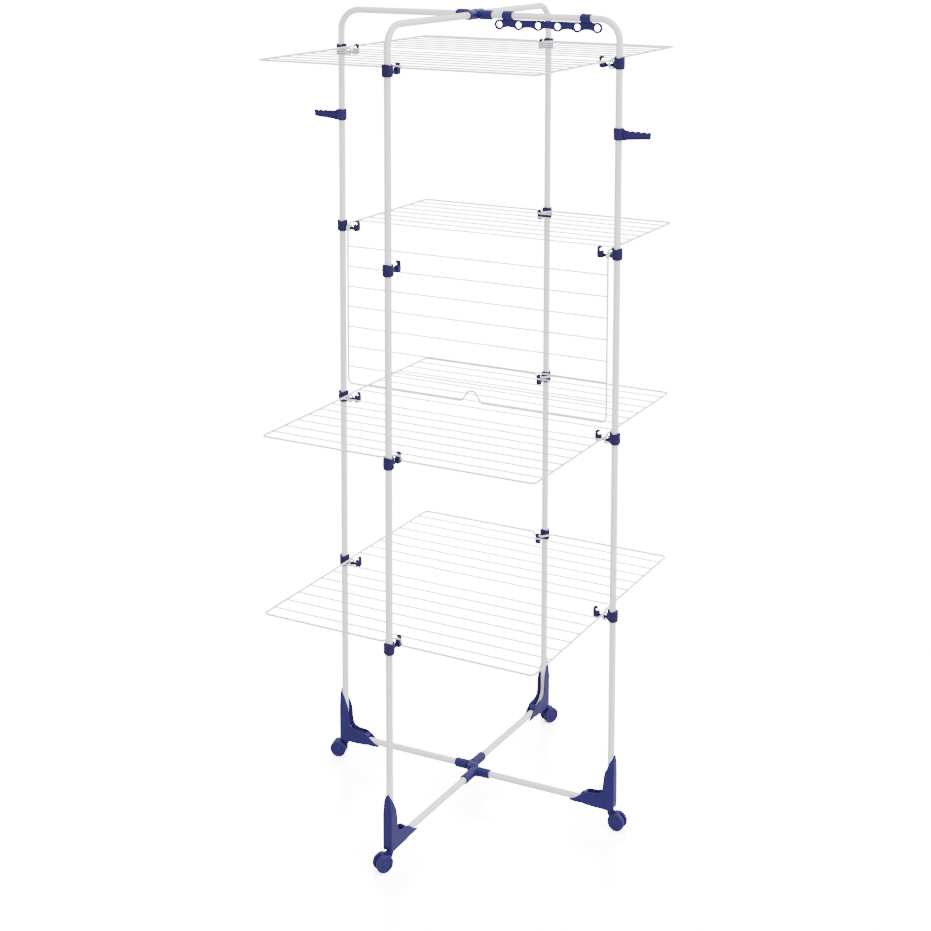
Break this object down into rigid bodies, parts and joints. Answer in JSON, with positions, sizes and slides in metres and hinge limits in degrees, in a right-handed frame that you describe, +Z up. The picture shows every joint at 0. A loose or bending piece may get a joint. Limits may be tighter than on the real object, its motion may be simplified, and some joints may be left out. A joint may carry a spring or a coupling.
{
  "type": "clothes drying rack",
  "caption": "Upright drying rack: two crossed tube frames that fold on a centre pivot, tiers of hinged wire shelves, hanger arms, a ring strip and swivel casters.",
  "frame": {"origin": "on the floor under the centre pivot, the centre of the overall box's base", "axes": "+Z up along the centre pivot; +X along frame A, which carries the shelves, towards the post with the ring strip; +Y along frame B towards its rear post"},
  "size_m": [0.898, 0.8874, 1.939],
  "materials": {
    "tube": "smooth white coating",
    "wire": "smooth white coating",
    "plastic": "moulded blue-violet, satin",
    "wheel": "moulded blue-violet, satin",
    "axle": "plain"
  },
  "bodies": {
    "frame_a": {"tube_a_left": "tube", "clip_a_left_1": "plastic", "clip_a_left_2": "plastic", "clip_a_left_3": "plastic", "clip_a_left_4": "plastic", "foot_a_left": "plastic", "tube_a_right": "tube", "clip_a_right_1": "plastic", "clip_a_right_2": "plastic", "clip_a_right_3": "plastic", "clip_a_right_4": "plastic", "foot_a_right": "plastic", "hanger_arm_left": "plastic", "hanger_arm_right": "plastic", "hanger_strip": "plastic", "hub_top_a": "plastic", "hub_base_a": "plastic", "hub_pin_top": "plastic", "hub_pin_base": "plastic"},
    "frame_b": {"tube_b_front": "tube", "clip_b_front_1": "plastic", "clip_b_front_2": "plastic", "clip_b_front_3": "plastic", "clip_b_front_4": "plastic", "foot_b_front": "plastic", "tube_b_back": "tube", "clip_b_back_1": "plastic", "clip_b_back_2": "plastic", "clip_b_back_3": "plastic", "clip_b_back_4": "plastic", "foot_b_back": "plastic", "hub_top_b": "plastic", "hub_base_b": "plastic"},
    "shelf_front_1_body": {"shelf_front_1": "wire"},
    "shelf_rear_1_body": {"shelf_rear_1": "wire"},
    "shelf_front_2_body": {"shelf_front_2": "wire"},
    "shelf_rear_2_body": {"shelf_rear_2": "wire"},
    "shelf_front_3_body": {"shelf_front_3": "wire"},
    "shelf_rear_3_body": {"shelf_rear_3": "wire"},
    "shelf_front_4_body": {"shelf_front_4": "wire"},
    "shelf_rear_4_body": {"shelf_rear_4": "wire"},
    "caster_a_left": {"caster_housing_a_left": "plastic"},
    "wheels_a_left": {"wheel_a_left_1": "wheel", "wheel_a_left_2": "wheel", "axle_a_left": "axle"},
    "caster_a_right": {"caster_housing_a_right": "plastic"},
    "wheels_a_right": {"wheel_a_right_1": "wheel", "wheel_a_right_2": "wheel", "axle_a_right": "axle"},
    "caster_b_front": {"caster_housing_b_front": "plastic"},
    "wheels_b_front": {"wheel_b_front_1": "wheel", "wheel_b_front_2": "wheel", "axle_b_front": "axle"},
    "caster_b_back": {"caster_housing_b_back": "plastic"},
    "wheels_b_back": {"wheel_b_back_1": "wheel", "wheel_b_back_2": "wheel", "axle_b_back": "axle"}
  },
  "joints": [
    {"name": "frame_fold", "type": "hinge", "parent": "frame_a", "child": "frame_b", "pos_m": [0, 0, 0.991], "axis": [0, 0, -1], "range_deg": [0, 80]},
    {"name": "front_1_fold", "type": "hinge", "parent": "frame_a", "child": "shelf_front_1_body", "pos_m": [0, 0, 1.821], "axis": [1, 0, 0], "range_deg": [0, 86]},
    {"name": "rear_1_fold", "type": "hinge", "parent": "frame_a", "child": "shelf_rear_1_body", "pos_m": [0, 0, 1.821], "axis": [-1, 0, 0], "range_deg": [0, 86]},
    {"name": "front_2_fold", "type": "hinge", "parent": "frame_a", "child": "shelf_front_2_body", "pos_m": [0, 0, 1.382], "axis": [1, 0, 0], "range_deg": [-90, 0]},
    {"name": "rear_2_fold", "type": "hinge", "parent": "frame_a", "child": "shelf_rear_2_body", "pos_m": [0, 0, 1.382], "axis": [-1, 0, 0], "range_deg": [0, 86]},
    {"name": "front_3_fold", "type": "hinge", "parent": "frame_a", "child": "shelf_front_3_body", "pos_m": [0, 0, 0.947], "axis": [1, 0, 0], "range_deg": [0, 86]},
    {"name": "rear_3_fold", "type": "hinge", "parent": "frame_a", "child": "shelf_rear_3_body", "pos_m": [0, 0, 0.947], "axis": [-1, 0, 0], "range_deg": [0, 86]},
    {"name": "front_4_fold", "type": "hinge", "parent": "frame_a", "child": "shelf_front_4_body", "pos_m": [0, 0, 0.519], "axis": [1, 0, 0], "range_deg": [0, 86]},
    {"name": "rear_4_fold", "type": "hinge", "parent": "frame_a", "child": "shelf_rear_4_body", "pos_m": [0, 0, 0.519], "axis": [-1, 0, 0], "range_deg": [0, 86]},
    {"name": "swivel_a_left", "type": "hinge", "parent": "frame_a", "child": "caster_a_left", "pos_m": [-0.37, 0, 0.056], "axis": [0, 0, 1], "continuous": true},
    {"name": "roll_a_left", "type": "hinge", "parent": "caster_a_left", "child": "wheels_a_left", "pos_m": [-0.38739, -0.00466, 0.021], "axis": [0.2588, -0.9659, 0], "continuous": true},
    {"name": "swivel_a_right", "type": "hinge", "parent": "frame_a", "child": "caster_a_right", "pos_m": [0.37, 0, 0.056], "axis": [0, 0, 1], "continuous": true},
    {"name": "roll_a_right", "type": "hinge", "parent": "caster_a_right", "child": "wheels_a_right", "pos_m": [0.38799, -0.00063, 0.021], "axis": [0.0349, 0.9994, 0], "continuous": true},
    {"name": "swivel_b_front", "type": "hinge", "parent": "frame_b", "child": "caster_b_front", "pos_m": [0, -0.404, 0.056], "axis": [0, 0, 1], "continuous": true},
    {"name": "roll_b_front", "type": "hinge", "parent": "caster_b_front", "child": "wheels_b_front", "pos_m": [-0.00927, -0.41943, 0.021], "axis": [0.8572, -0.515, 0], "continuous": true},
    {"name": "swivel_b_back", "type": "hinge", "parent": "frame_b", "child": "caster_b_back", "pos_m": [0, 0.404, 0.056], "axis": [0, 0, 1], "continuous": true},
    {"name": "roll_b_back", "type": "hinge", "parent": "caster_b_back", "child": "wheels_b_back", "pos_m": [0.00927, 0.41943, 0.021], "axis": [-0.8572, 0.515, 0], "continuous": true}
  ],
  "couplings": [
    {"joint": "front_1_fold", "follows": "frame_fold", "ratio": 1.075},
    {"joint": "rear_1_fold", "follows": "frame_fold", "ratio": 1.075},
    {"joint": "rear_2_fold", "follows": "frame_fold", "ratio": 1.075},
    {"joint": "front_3_fold", "follows": "frame_fold", "ratio": 1.075},
    {"joint": "rear_3_fold", "follows": "frame_fold", "ratio": 1.075},
    {"joint": "front_4_fold", "follows": "frame_fold", "ratio": 1.075},
    {"joint": "rear_4_fold", "follows": "frame_fold", "ratio": 1.075}
  ]
}
